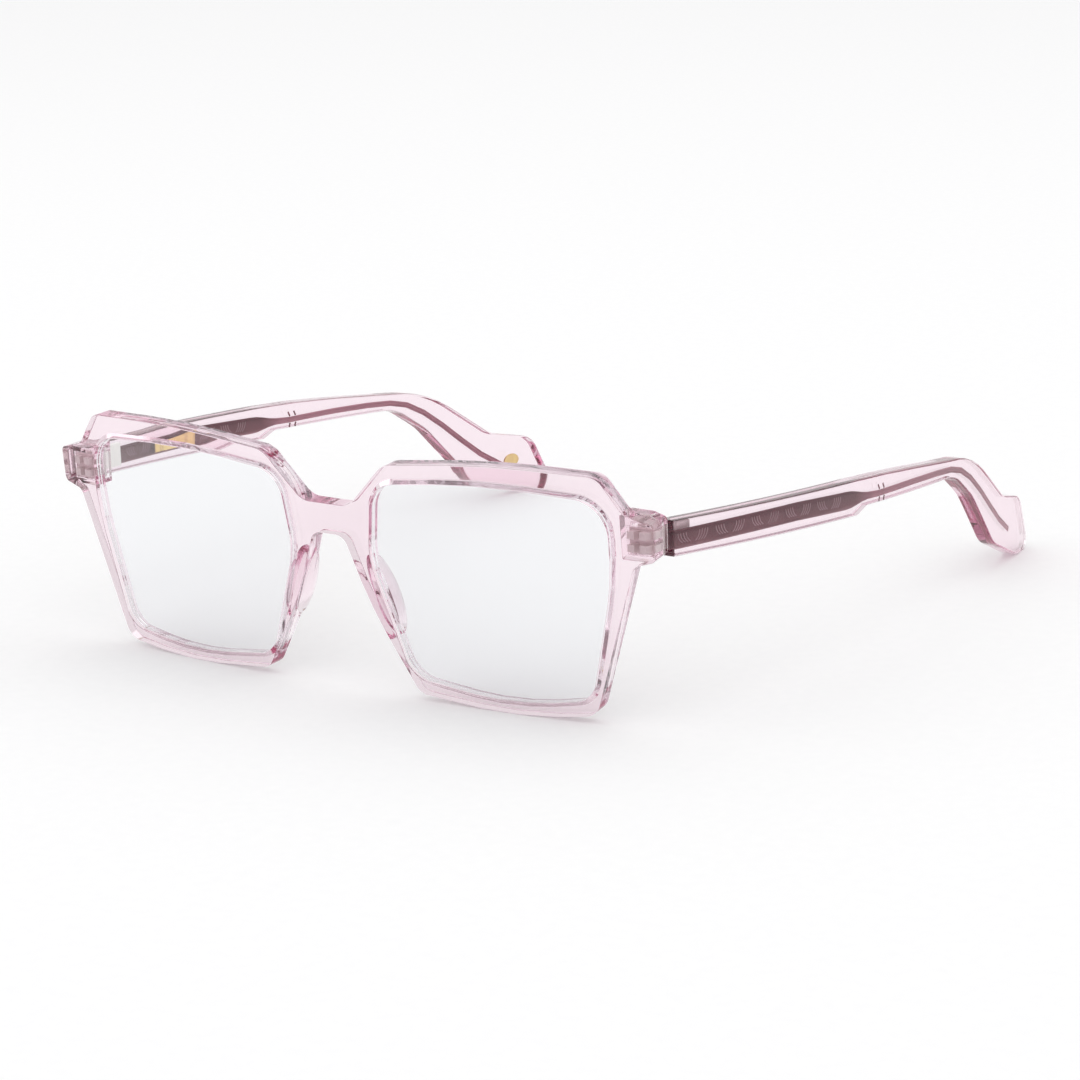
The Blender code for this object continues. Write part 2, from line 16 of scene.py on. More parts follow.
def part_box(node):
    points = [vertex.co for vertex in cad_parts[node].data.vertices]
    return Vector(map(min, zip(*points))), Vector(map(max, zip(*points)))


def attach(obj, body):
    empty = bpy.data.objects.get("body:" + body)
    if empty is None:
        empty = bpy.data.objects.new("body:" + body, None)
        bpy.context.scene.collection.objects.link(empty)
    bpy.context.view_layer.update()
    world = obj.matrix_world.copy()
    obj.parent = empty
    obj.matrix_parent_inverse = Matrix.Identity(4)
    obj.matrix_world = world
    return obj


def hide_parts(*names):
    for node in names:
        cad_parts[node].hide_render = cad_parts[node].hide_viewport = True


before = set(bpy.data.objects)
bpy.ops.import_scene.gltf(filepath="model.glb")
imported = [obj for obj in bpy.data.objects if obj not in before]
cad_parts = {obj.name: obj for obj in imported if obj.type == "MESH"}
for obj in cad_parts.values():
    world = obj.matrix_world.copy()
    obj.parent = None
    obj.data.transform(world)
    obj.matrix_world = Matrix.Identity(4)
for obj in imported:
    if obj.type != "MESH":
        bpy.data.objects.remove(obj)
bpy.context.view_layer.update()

MM = 0.001
SIDES = (("left", 1), ("right", -1))

# %% [markdown]
# ## Camera
# The viewer stands in front and to the wearer's left, a little above the glasses. A long lens keeps
# the far temple nearly as large as the near one. The camera's three directions are worked out from
# the two angles of view, and then turned a little about the line of sight.

# %% Camera
AZIMUTH = math.radians(35.956)
ELEVATION = math.radians(14.296)
ROLL = math.radians(2.144)
CAMERA_PLACE = Vector((0.43018, -0.60222, 0.2005))
BRIDGE_PLACE = Vector((0, -0.073, 0.033))
FOCAL_LENGTH = 126.67  # in mm, over a sensor 36 mm wide

back = Vector((
    math.sin(AZIMUTH) * math.cos(ELEVATION),
    -math.cos(AZIMUTH) * math.cos(ELEVATION),
    math.sin(ELEVATION),
))
level = Vector((math.cos(AZIMUTH), math.sin(AZIMUTH), 0))
upright = back.cross(level)
right = level * math.cos(ROLL) - upright * math.sin(ROLL)
up = upright * math.cos(ROLL) + level * math.sin(ROLL)

camera = bpy.data.objects.new("camera", bpy.data.cameras.new("camera"))
bpy.context.scene.collection.objects.link(camera)
camera.data.sensor_width = 36
camera.data.lens = FOCAL_LENGTH
camera.data.clip_start = 0.05
camera.data.clip_end = 50
camera.matrix_world = Matrix.Translation(CAMERA_PLACE) @ Matrix((right, up, back)).transposed().to_4x4()
bpy.context.scene.camera = camera
print("camera to the bridge:", round((CAMERA_PLACE - BRIDGE_PLACE).length, 3), "m")

# %% [markdown]
# ## Studio
# Clear plastic shows what is round it, so the studio makes half of its look. A pale floor and a
# bright sky behind give clean, light plastic. For reflected and bent light only, the sky is darker on
# the viewer's side: where the plastic bends the view round to that side, a darker line appears. The
# camera and the floor never see that darker side, so the background stays white.

# %% Floor
FLOOR_SIZE = 12.0
FLOOR_GRAIN = 400


def floor_material():
    """Pale matt card with a very fine, weak grain."""
    made = bpy.data.materials.new("pale_card")
    made.use_nodes = True
    nodes, links = made.node_tree.nodes, made.node_tree.links
    shader = nodes["Principled BSDF"]
    grain = nodes.new("ShaderNodeTexNoise")
    place = nodes.new("ShaderNodeTexCoord")
    tones = nodes.new("ShaderNodeValToRGB")
    grain.inputs["Scale"].default_value = FLOOR_GRAIN
    tones.color_ramp.elements[0].color = (0.90, 0.90, 0.905, 1)
    tones.color_ramp.elements[1].color = (0.93, 0.93, 0.93, 1)
    links.new(place.outputs["Object"], grain.inputs["Vector"])
    links.new(grain.outputs["Fac"], tones.inputs["Fac"])
    links.new(tones.outputs["Color"], shader.inputs["Base Color"])
    shader.inputs["Roughness"].default_value = 0.9
    shader.inputs["Specular IOR Level"].default_value = 0.1
    return made


shape = bmesh.new()
bmesh.ops.create_grid(shape, x_segments=2, y_segments=2, size=FLOOR_SIZE / 2)
floor_mesh = bpy.data.meshes.new("floor")
shape.to_mesh(floor_mesh)
shape.free()
floor_mesh.materials.append(floor_material())
floor = bpy.data.objects.new("floor", floor_mesh)
bpy.context.scene.collection.objects.link(floor)
print("floor:", FLOOR_SIZE, "m square")

# %% Sky
SKY_BRIGHT = (0.84, 0.84, 0.84, 1)
SKY_DUSK = (0.16, 0.045, 0.075, 1)  # dusky rose, so that the darker lines in the plastic stay warm
VIEWER_SIDE = Vector((0.45, -0.89, 0.0))  # the level direction in which the sky is darkest
DUSK_FULL = 0.8  # how far towards that side the sky has become fully dusky, where 1 is all the way
FLOOR_LIFT = 0.22  # how much more light the camera and the floor get from the sky

world = bpy.data.worlds.new("studio")
bpy.context.scene.world = world
world.use_nodes = True
nodes, links = world.node_tree.nodes, world.node_tree.links
direction = nodes.new("ShaderNodeTexCoord")
towards = nodes.new("ShaderNodeVectorMath")
towards.operation = "DOT_PRODUCT"
towards.inputs[1].default_value = VIEWER_SIDE
shade = nodes.new("ShaderNodeMapRange")
shade.interpolation_type = "SMOOTHSTEP"
shade.inputs["From Min"].default_value = 0.0
shade.inputs["From Max"].default_value = DUSK_FULL
path = nodes.new("ShaderNodeLightPath")
plain = nodes.new("ShaderNodeMath")  # 1 for the camera and for light that falls on the floor
plain.operation = "MAXIMUM"
unseen = nodes.new("ShaderNodeMath")
unseen.operation = "SUBTRACT"
unseen.use_clamp = True
mix = nodes.new("ShaderNodeMix")
mix.data_type = "RGBA"
mix.inputs["A"].default_value = SKY_BRIGHT
mix.inputs["B"].default_value = SKY_DUSK
links.new(direction.outputs["Generated"], towards.inputs[0])
links.new(towards.outputs["Value"], shade.inputs["Value"])
links.new(shade.outputs["Result"], unseen.inputs[0])
links.new(path.outputs["Is Camera Ray"], plain.inputs[0])
links.new(path.outputs["Is Diffuse Ray"], plain.inputs[1])
links.new(plain.outputs["Value"], unseen.inputs[1])
links.new(unseen.outputs["Value"], mix.inputs["Factor"])
links.new(mix.outputs["Result"], nodes["Background"].inputs["Color"])
lift = nodes.new("ShaderNodeMath")
lift.operation = "MULTIPLY_ADD"
lift.inputs[1].default_value = FLOOR_LIFT
lift.inputs[2].default_value = 1.0
links.new(plain.outputs["Value"], lift.inputs[0])
links.new(lift.outputs["Value"], nodes["Background"].inputs["Strength"])
print("sky: bright", SKY_BRIGHT[:3], "dusk", SKY_DUSK[:3])

# %% [markdown]
# The lamps are three soft boxes. One hangs overhead and one stands at each side of the viewer. They are
# weak, because most of the light comes from the sky: strong lamps would bleach the pale plastic, and
# small ones would leave hard sparkles in it.

# %% Soft lamps
LAMPS = (
    # name, place, width, height, power in watts
    ("overhead_softbox", (0.1, 0.3, 1.1), 1.2, 0.8, 1.0),
    ("side_softbox", (-1.0, -0.5, 0.7), 0.7, 0.9, 1.0),
    ("front_strip", (0.9, -0.5, 0.6), 0.15, 0.8, 0.3),
)
LAMPS_AIM = Vector((0, 0, 0.02))
LIGHT_BOUNCES = 32  # light that is trapped in the plastic bounces many times
SHADOW_LAYERS = 16  # how many clear surfaces a shadow ray may pass

for name, place, width, height, power in LAMPS:
    light = bpy.data.lights.new(name, "AREA")
    light.shape = "RECTANGLE"
    light.size = width
    light.size_y = height
    light.energy = power
    lamp = bpy.data.objects.new(name, light)
    lamp.location = place
    lamp.rotation_euler = (LAMPS_AIM - Vector(place)).to_track_quat("-Z", "Y").to_euler()
    bpy.context.scene.collection.objects.link(lamp)

scene = bpy.context.scene
scene.view_settings.view_transform = "Standard"
scene.cycles.max_bounces = LIGHT_BOUNCES
scene.cycles.glossy_bounces = LIGHT_BOUNCES
scene.cycles.transmission_bounces = LIGHT_BOUNCES
scene.cycles.transparent_max_bounces = SHADOW_LAYERS
print("lamps:", [lamp[0] for lamp in LAMPS])

# %% [markdown]
# ## Shared effects
# Polished plastic and metal are never perfectly even: handling leaves faint smears and hairlines. One
# node group makes them from the piece's own coordinates, so that they stay in place as the piece
# moves. It puts out a roughness, a colour and a height, which each material uses with its own values.

# %% Node group: handling wear
SMEARS_SCALE = 90.0
CLOUDS_SCALE = 35.0
HAIRLINES_SCALE = 2500.0
HAIRLINES_STRETCH = (1.0, 0.15, 1.0)  # hairlines run from front to back
NOISE_LOW, NOISE_HIGH = 0.3, 0.7  # nearly all of a noise texture lies between these


def new_group(name, inputs, outputs):
    """An empty shader node group with (name, default) inputs and named outputs; returns its parts."""
    group = bpy.data.node_groups.new(name, "ShaderNodeTree")
    for socket, default in inputs:
        kind = "NodeSocketColor" if isinstance(default, tuple) else "NodeSocketFloat"
        made = group.interface.new_socket(socket, in_out="INPUT", socket_type=kind)
        made.default_value = default
    for socket, kind in outputs:
        group.interface.new_socket(socket, in_out="OUTPUT", socket_type=kind)
    start = group.nodes.new("NodeGroupInput")
    end = group.nodes.new("NodeGroupOutput")
    return group, start, end


def noise(group, vector, scale, detail=3.0):
    """A noise texture on a vector socket."""
    node = group.nodes.new("ShaderNodeTexNoise")
    node.inputs["Scale"].default_value = scale
    node.inputs["Detail"].default_value = detail
    group.links.new(vector, node.inputs["Vector"])
    return node


def spread(group, value, low, high):
    """Spreads a noise value over low..high, where low and high are sockets or numbers."""
    node = group.nodes.new("ShaderNodeMapRange")
    node.inputs["From Min"].default_value = NOISE_LOW
    node.inputs["From Max"].default_value = NOISE_HIGH
    group.links.new(value, node.inputs["Value"])
    for socket, limit in (("To Min", low), ("To Max", high)):
        if isinstance(limit, (int, float)):
            node.inputs[socket].default_value = limit
        else:
            group.links.new(limit, node.inputs[socket])
    return node.outputs["Result"]


def make_handling():
    """Smears change the roughness, clouds mix the two tones, and hairlines give the height."""
    white = (1, 1, 1, 1)
    group, start, end = new_group(
        "handling_wear",
        (("Roughness Low", 0.02), ("Roughness High", 0.08), ("Tone A", white), ("Tone B", white)),
        (("Roughness", "NodeSocketFloat"), ("Colour", "NodeSocketColor"), ("Height", "NodeSocketFloat")),
    )
    place = group.nodes.new("ShaderNodeTexCoord")
    smears = noise(group, place.outputs["Object"], SMEARS_SCALE)
    clouds = noise(group, place.outputs["Object"], CLOUDS_SCALE, detail=1.0)
    stretch = group.nodes.new("ShaderNodeMapping")
    stretch.inputs["Scale"].default_value = HAIRLINES_STRETCH
    group.links.new(place.outputs["Object"], stretch.inputs["Vector"])
    hairlines = noise(group, stretch.outputs["Vector"], HAIRLINES_SCALE, detail=1.0)
    low, high = start.outputs["Roughness Low"], start.outputs["Roughness High"]
    rough = spread(group, smears.outputs["Fac"], low, high)
    mix = group.nodes.new("ShaderNodeMix")
    mix.data_type = "RGBA"
    group.links.new(spread(group, clouds.outputs["Fac"], 0.0, 1.0), mix.inputs["Factor"])
    group.links.new(start.outputs["Tone A"], mix.inputs["A"])
    group.links.new(start.outputs["Tone B"], mix.inputs["B"])
    group.links.new(rough, end.inputs["Roughness"])
    group.links.new(mix.outputs["Result"], end.inputs["Colour"])
    group.links.new(hairlines.outputs["Fac"], end.inputs["Height"])
    return group


HANDLING = make_handling()
print("group:", HANDLING.name, "with", len(HANDLING.nodes), "nodes")

# %% [markdown]
# ## Finishes
# The acetate is made as real glass: light bends into it and out of it. Its rose colour is in its
# depth, not on its surface, so thin rims look almost white and long paths through an edge look deep
# rose. A tinted surface can't do that, so the colour is a Volume Absorption. Shadows through bent glass
# are slow and noisy to trace, so for shadow rays only the material is a tinted see-through sheet.

# %% Rose acetate
ACETATE_IOR = 1.49
ACETATE_DEPTH_COLOUR = (0.78, 0.20, 0.46, 1)
ACETATE_DEPTH_DENSITY = 50.0  # per metre, so a few millimetres give a pale tint


def new_material(name):
    """A material with a Principled shader, and the handling group already feeding it."""
    made = bpy.data.materials.new(name)
    made.use_nodes = True
    tree = made.node_tree
    shader = tree.nodes["Principled BSDF"]
    wear = tree.nodes.new("ShaderNodeGroup")
    wear.node_tree = HANDLING
    tree.links.new(wear.outputs["Roughness"], shader.inputs["Roughness"])
    tree.links.new(wear.outputs["Colour"], shader.inputs["Base Color"])
    return made, tree, shader, wear


def set_wear(wear, low, high, tone_a, tone_b):
    """Sets a material's own roughness limits and its two tones."""
    wear.inputs["Roughness Low"].default_value = low
    wear.inputs["Roughness High"].default_value = high
    wear.inputs["Tone A"].default_value = (*tone_a, 1)
    wear.inputs["Tone B"].default_value = (*tone_b, 1)


def add_relief(tree, shader, wear, strength, distance):
    """Makes the hairlines stand out a little from the surface."""
    bump = tree.nodes.new("ShaderNodeBump")
    bump.inputs["Strength"].default_value = strength
    bump.inputs["Distance"].default_value = distance
    tree.links.new(wear.outputs["Height"], bump.inputs["Height"])
    tree.links.new(bump.outputs["Normal"], shader.inputs["Normal"])


def clear_shadows(tree, shader, tint):
    """Lets shadow rays straight through, tinted."""
    path = tree.nodes.new("ShaderNodeLightPath")
    clear = tree.nodes.new("ShaderNodeBsdfTransparent")
    clear.inputs["Color"].default_value = (*tint, 1)
    mix = tree.nodes.new("ShaderNodeMixShader")
    output = tree.nodes["Material Output"]
    tree.links.new(path.outputs["Is Shadow Ray"], mix.inputs["Fac"])
    tree.links.new(shader.outputs["BSDF"], mix.inputs[1])
    tree.links.new(clear.outputs["BSDF"], mix.inputs[2])
    tree.links.new(mix.outputs["Shader"], output.inputs["Surface"])


ACETATE, tree, shader, wear = new_material("polished_rose_acetate")
set_wear(wear, 0.0, 0.03, (1.0, 0.985, 0.99), (1.0, 0.975, 0.985))
shader.inputs["Transmission Weight"].default_value = 1.0
shader.inputs["IOR"].default_value = ACETATE_IOR
clear_shadows(tree, shader, (0.98, 0.93, 0.95))
depth_tint = tree.nodes.new("ShaderNodeVolumeAbsorption")
depth_tint.inputs["Color"].default_value = ACETATE_DEPTH_COLOUR
depth_tint.inputs["Density"].default_value = ACETATE_DEPTH_DENSITY
tree.links.new(depth_tint.outputs["Volume"], tree.nodes["Material Output"].inputs["Volume"])
print("acetate: IOR", ACETATE_IOR)

# %% [markdown]
# The lenses look clear with no colour of their own. They are glass as well, but a faint cool tint on the
# surface is enough, because a thin even sheet has no depth to show. The hinges are nickel silver, a pale
# alloy with a satin surface. It is kept mostly unmetallic: a full metal inside pink plastic would
# mirror the plastic's own dark lines.

# %% Lens and nickel silver
LENS_IOR = 1.5

LENS, tree, shader, wear = new_material("coated_lens")
set_wear(wear, 0.0, 0.02, (0.94, 0.95, 0.965), (0.93, 0.94, 0.955))
shader.inputs["Transmission Weight"].default_value = 1.0
shader.inputs["IOR"].default_value = LENS_IOR
clear_shadows(tree, shader, (0.97, 0.98, 0.99))

STEEL, tree, shader, wear = new_material("nickel_silver")
set_wear(wear, 0.22, 0.42, (0.92, 0.89, 0.85), (0.98, 0.96, 0.92))
shader.inputs["Metallic"].default_value = 0.2
add_relief(tree, shader, wear, 0.15, 0.00002)
print("lens and hinges:", LENS.name, "and", STEEL.name)

# %% [markdown]
# The core's wide part is a dark mauve strip, and further back it becomes a paler bare wire. Over the mauve,
# the strip's colour carries painted shade that darkens it towards its top edge, and painted light that makes
# it paler along its foot. Two pieces with two materials would show a seam at the neck. So one material
# measures the piece's own coordinates: a ramp runs across the strip and paints that shade and light, and a
# mix changes it to the wire.

# %% Core
STRIP_SLOPE = (0, 0.074, 1)  # straight across the strip, which drops 0.074 for each 1 that it runs back
STRIP_BOTTOM, STRIP_TOP = 0.0280, 0.0315  # in metres, measured across the slope
# Painted shade and light: these stops darken the strip towards its top edge and make it paler at its foot.
STRIP_MAUVE_AND_PAINTED_SHADE = (
    # place from the bottom to the top, colour
    (0.0, (0.44, 0.24, 0.27, 1)),
    (0.22, (0.23, 0.095, 0.115, 1)),
    (0.72, (0.19, 0.075, 0.092, 1)),
    (0.84, (0.15, 0.042, 0.060, 1)),
    (1.0, (0.16, 0.036, 0.058, 1)),
)
WIRE_COLOUR = (0.48, 0.24, 0.29, 1)
WIRE_START, WIRE_FULL = -0.009, -0.002  # in metres along Y: the neck, where the strip becomes the wire

CORE, tree, shader, wear = new_material("brushed_mauve_painted_shade")
set_wear(wear, 0.30, 0.50, (0.85, 0.85, 0.85), (1.0, 1.0, 1.0))
shader.inputs["Metallic"].default_value = 0.8
add_relief(tree, shader, wear, 0.35, 0.00003)


def measured_along(tree, direction, start, end):
    """A value that runs from 0 to 1 between two places along a direction in the piece's own space."""
    place = tree.nodes.new("ShaderNodeTexCoord")
    along = tree.nodes.new("ShaderNodeVectorMath")
    along.operation = "DOT_PRODUCT"
    along.inputs[1].default_value = direction
    share = tree.nodes.new("ShaderNodeMapRange")
    share.inputs["From Min"].default_value = start
    share.inputs["From Max"].default_value = end
    tree.links.new(place.outputs["Object"], along.inputs[0])
    tree.links.new(along.outputs["Value"], share.inputs["Value"])
    return share.outputs["Result"]


# The ramp across the strip is multiplied onto the mauve tones. It paints shade near the top edge and light
# along the foot.
height = measured_along(tree, STRIP_SLOPE, STRIP_BOTTOM, STRIP_TOP)
painted_shade_ramp = tree.nodes.new("ShaderNodeValToRGB")
painted_shade_ramp.color_ramp.elements[0].color = STRIP_MAUVE_AND_PAINTED_SHADE[0][1]
painted_shade_ramp.color_ramp.elements[1].color = STRIP_MAUVE_AND_PAINTED_SHADE[-1][1]
for stop, colour in STRIP_MAUVE_AND_PAINTED_SHADE[1:-1]:
    painted_shade_ramp.color_ramp.elements.new(stop).color = colour
strip = tree.nodes.new("ShaderNodeMix")
strip.data_type = "RGBA"
strip.blend_type = "MULTIPLY"
strip.inputs["Factor"].default_value = 1.0
whole = tree.nodes.new("ShaderNodeMix")
whole.data_type = "RGBA"
whole.inputs["B"].default_value = WIRE_COLOUR
tree.links.new(height, painted_shade_ramp.inputs["Fac"])
tree.links.new(wear.outputs["Colour"], strip.inputs["A"])
tree.links.new(painted_shade_ramp.outputs["Color"], strip.inputs["B"])
tree.links.new(measured_along(tree, (0, 1, 0), WIRE_START, WIRE_FULL), whole.inputs["Factor"])
tree.links.new(strip.outputs["Result"], whole.inputs["A"])
tree.links.new(whole.outputs["Result"], shader.inputs["Base Color"])
print("core:", CORE.name)

# %% [markdown]
# The last three finishes are on very small pieces. The engraving is cut metal, a little paler than the
# strip. The pins are dark rose and don't shine. The inlays are gilt brass with a satin surface, so they
# are a full metal with a yellow tone and some roughness.

# %% Engraving, pins and gilt
STROKE, tree, shader, wear = new_material("engraved_line")
set_wear(wear, 0.25, 0.40, (0.38, 0.23, 0.26), (0.50, 0.33, 0.36))
shader.inputs["Metallic"].default_value = 0.5
add_relief(tree, shader, wear, 0.2, 0.00002)

PIN, tree, shader, wear = new_material("rose_pin")
set_wear(wear, 0.20, 0.40, (0.20, 0.035, 0.06), (0.30, 0.06, 0.09))

GOLD, tree, shader, wear = new_material("satin_gilt")
set_wear(wear, 0.20, 0.38, (0.83, 0.60, 0.27), (0.93, 0.72, 0.38))
shader.inputs["Metallic"].default_value = 1.0
add_relief(tree, shader, wear, 0.25, 0.00002)
print("finishes:", [made.name for made in (ACETATE, LENS, STEEL, CORE, STROKE, PIN, GOLD)])

# %% [markdown]
# ## From a flat blank to a curved piece
# Acetate fronts and temples are cut from flat sheet, polished, and then bent warm. The script does
# the same: each piece is drawn and cut flat, sliced into narrow strips so that it can bend, and then
# bent with one function. The front wraps onto a large leaning cylinder, and a temple bows outwards.
# Drawing the curved piece directly would need many more points and be much harder to change.

# %% Helper: rounded outlines
ARC_STEP = math.radians(7)  # the turn of one straight stretch of a rounded corner
CORNER_SHARE = 0.49  # a corner's arc may take up this share of each side next to it


def rounded_face(shape, corners, place, arc=ARC_STEP):
    """A flat face through (a, b, radius in mm) corners: each corner becomes an arc by a vertex bevel."""
    points = [Vector((a, b)) * MM for a, b, _ in corners]
    verts = [shape.verts.new(place(p)) for p in points]
    shape.faces.new(verts)
    for i, vert in enumerate(verts):
        before = points[i - 1] - points[i]
        after = points[(i + 1) % len(points)] - points[i]
        turn = math.pi - before.angle(after)
        reach = corners[i][2] * MM * math.tan(turn / 2)
        reach = min(reach, CORNER_SHARE * before.length, CORNER_SHARE * after.length)
        if reach > 0:
            bmesh.ops.bevel(
                shape, geom=[vert], offset=reach, offset_type="OFFSET", affect="VERTICES",
                segments=max(2, math.ceil(turn / arc)), profile=0.5, material=-1,
            )
    return max(shape.faces, key=lambda face: face.calc_area())


print("one step of a corner's arc:", round(math.degrees(ARC_STEP)), "degrees")

# %% Helpers: slabs and slices
EXACT = 1e-7  # how close a point is to a cutting plane to count as on it


def extrude(shape, faces, step, keep=True):
    """Extrudes faces by a vector and turns all faces outwards. The old faces stay as the floor, or go."""
    made = bmesh.ops.extrude_face_region(shape, geom=faces)
    moved = [item for item in made["geom"] if isinstance(item, bmesh.types.BMVert)]
    bmesh.ops.translate(shape, verts=moved, vec=step)
    if not keep:
        bmesh.ops.delete(shape, geom=[face for face in faces if face.is_valid], context="FACES")
    bmesh.ops.recalc_face_normals(shape, faces=shape.faces)


def slice_across(shape, axis, places, faces=None):
    """Cuts the mesh, or only some faces of it, at each place along an axis."""
    normal = Vector((0, 0, 0))
    normal[axis] = 1
    kept = set(faces or [])
    for place in places:
        if faces is None:
            parts = shape.verts[:] + shape.edges[:] + shape.faces[:]
        else:
            edges = {edge for face in kept for edge in face.edges}
            verts = {vert for face in kept for vert in face.verts}
            parts = list(verts) + list(edges) + list(kept)
        cut = bmesh.ops.bisect_plane(shape, geom=parts, dist=EXACT, plane_co=normal * place, plane_no=normal)
        kept |= {item for item in cut["geom"] if isinstance(item, bmesh.types.BMFace)}
    return [face for face in kept if face.is_valid]


print("a cut merges points closer than", EXACT, "m")

# %% Helpers: polished edges and finished pieces
POLISHED_ABOVE = math.radians(40)  # an edge that turns more than this is sharp before polishing
SMOOTH_BELOW = math.radians(35)  # an edge that turns less than this is shaded smooth


def polish(shape, width):
    """Rounds every sharp edge, as a polishing drum does."""
    sharp = [edge for edge in shape.edges if edge.is_manifold and edge.calc_face_angle() > POLISHED_ABOVE]
    bmesh.ops.bevel(
        shape, geom=sharp, offset=width, offset_type="OFFSET", affect="EDGES",
        segments=3, profile=0.5, material=-1, clamp_overlap=True,
    )


def finished(shape, name, finish, body, replaced=()):
    """The bmesh as a smooth-shaded piece that rides on a body and stands for its CAD nodes."""
    bmesh.ops.remove_doubles(shape, verts=shape.verts, dist=EXACT)
    mesh = bpy.data.meshes.new(name)
    shape.to_mesh(mesh)
    shape.free()
    mesh.materials.append(finish)
    mesh.shade_smooth()
    mesh.set_sharp_from_angle(angle=SMOOTH_BELOW)
    piece = bpy.data.objects.new(name, mesh)
    bpy.context.scene.collection.objects.link(piece)
    even = piece.modifiers.new("even shading", "WEIGHTED_NORMAL")
    even.keep_sharp = True
    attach(piece, body)
    if replaced:
        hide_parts(*replaced)
    print(f"{name}: {len(mesh.polygons)} faces on {body}")
    return piece


print("edges over", round(math.degrees(POLISHED_ABOVE)), "degrees are polished")

# %% Helper: joining and cutting
JOIN = 1e-6  # points closer than this become one


def combined(shape, other, operation):
    """The first bmesh joined to, or cut by, the second; both are used up."""
    objects = []
    for part in (shape, other):
        bmesh.ops.recalc_face_normals(part, faces=part.faces)
        mesh = bpy.data.meshes.new("blank")
        part.to_mesh(mesh)
        part.free()
        item = bpy.data.objects.new("blank", mesh)
        bpy.context.scene.collection.objects.link(item)
        objects.append(item)
    step = objects[0].modifiers.new("step", "BOOLEAN")
    step.operation = operation
    step.solver = "EXACT"
    step.object = objects[1]
    graph = bpy.context.evaluated_depsgraph_get()
    made = bmesh.new()
    made.from_mesh(objects[0].evaluated_get(graph).to_mesh())
    for item in objects:
        bpy.data.objects.remove(item)
    bmesh.ops.remove_doubles(made, verts=made.verts, dist=JOIN)
    return made


print("points closer than", JOIN, "m are joined")

# %% Helpers: the two bends
FRONT_Y = -73.25 * MM  # the front's face, in its middle and at the floor's level
LEAN = math.radians(4.55)  # the front's top leans away from the wearer by this angle
WRAP_RADIUS = 460 * MM
TEMPLE_MIDDLE = 71.8 * MM  # how far out a temple is where it bows out most
BOW_Y = FRONT_Y + 62 * MM  # and how far back that is
BOW_RADIUS = 352 * MM


def wrap_front(co):
    """(across, depth, up) on the flat blank to its place on the leaning, wrapped front."""
    slope = co.x / WRAP_RADIUS
    normal = Vector((-slope, 1, math.tan(LEAN))).normalized()
    face = Vector((co.x, co.x * slope / 2 - co.z * math.sin(LEAN), co.z * math.cos(LEAN)))
    return face + normal * co.y + Vector((0, FRONT_Y, 0))


def bow_temple(co):
    """(across the temple's middle, back, up) on the flat blank to its place on the bowed temple."""
    y = co.y + FRONT_Y
    return Vector((co.x + TEMPLE_MIDDLE - (y - BOW_Y) ** 2 / (2 * BOW_RADIUS), y, co.z))


def bend(shape, place, axis, start, end, step):
    """Slices the shape into strips along an axis, and moves every point to its bent place."""
    count = math.ceil((end - start) / step)
    slice_across(shape, axis, [start + (end - start) * i / count for i in range(1, count)])
    for vert in shape.verts:
        vert.co = place(vert.co)


def to_side(shape, side):
    """Leaves the wearer's left piece as it is, or turns it into its mirror image."""
    if side < 0:
        bmesh.ops.scale(shape, vec=(-1, 1, 1), verts=shape.verts)
        bmesh.ops.reverse_faces(shape, faces=shape.faces)


def on_front(point):
    """A drawn point (across, up) on the front's flat face."""
    return (point.x, 0, point.y)


print("wrap radius:", round(WRAP_RADIUS / MM), "mm, bow radius:", round(BOW_RADIUS / MM), "mm")

# %% [markdown]
# ## Front
# A front is routed from a flat slab of acetate: one outline and two openings. It could be a slab with
# the openings cut out of it, but filling the space between two drawn outlines gives cleaner edges for
# the polishing. So half of the outline and one opening are drawn and filled, and a mirror makes the
# other half.

# %% Front: outline and openings
# (across, up, corner radius) in mm
HALF_OUTLINE = (
    (0, 36.2, 0), (5.4, 36.2, 4.0), (14.0, 45.0, 4.5), (37.0, 47.2, 150.0), (58.9, 46.7, 3.2),
    (63.6, 40.2, 3.0), (69.4, 38.7, 1.0), (69.3, 32.0, 1.2), (64.9, 30.7, 1.8), (55.3, 1.6, 3.6),
    (39.0, -0.43, 120.0), (17.9, 1.4, 3.0), (8.6, 17.0, 60.0), (3.6, 30.3, 3.2), (0, 30.3, 0),
)
OPENING = (
    (10.9, 40.9, 6.0), (34.0, 43.3, 120.0), (60.0, 42.0, 6.5), (60.6, 29.0, 45.0), (54.6, 4.4, 5.0),
    (38.0, 1.6, 60.0), (16.5, 4.3, 6.0), (9.0, 26.4, 14.0),
)

FLAT = 0.01  # in radians: faces that turn less than this are one flat face

front = bmesh.new()
rounded_face(front, HALF_OUTLINE, on_front)
opening_shape = bmesh.new()
rounded_face(opening_shape, OPENING, on_front)
opening_mesh = bpy.data.meshes.new("opening")
opening_shape.to_mesh(opening_mesh)
opening_shape.free()
front.from_mesh(opening_mesh)
bmesh.ops.delete(front, geom=list(front.faces), context="FACES_ONLY")
bmesh.ops.triangle_fill(front, edges=list(front.edges), use_beauty=True, use_dissolve=False)
half = front.verts[:] + front.edges[:] + front.faces[:]
bmesh.ops.mirror(front, geom=half, axis="X", merge_dist=JOIN)
bmesh.ops.dissolve_limit(front, angle_limit=FLAT, verts=front.verts, edges=front.edges)
front_area = sum(face.calc_area() for face in front.faces)
print("flat front:", len(front.faces), "faces,", round(front_area / MM**2), "mm2")

# %% [markdown]
# The end pieces, where the hinges sit, are much thicker than the rims. They could be blocks joined on,
# as makers often do it. Here the flat face is extruded to the slab, and then only the end pieces' faces
# are extruded further, so that the front stays one closed piece. A polishing drum rounds every edge,
# and a bevel on every sharp edge does the same.

# %% Front: slab and end pieces
FRONT_THICKNESS = 3.6 * MM
FRONT_DEPTH = 9.0 * MM
EDGE_ROUNDING = 0.5 * MM
END_PIECE_INNER = 61.8 * MM
END_PIECE_BOTTOM = 31.3 * MM
END_PIECE_TOP = 39.4 * MM
LOOKS_BACK = 0.9  # a face looks back when its normal's Y is above this

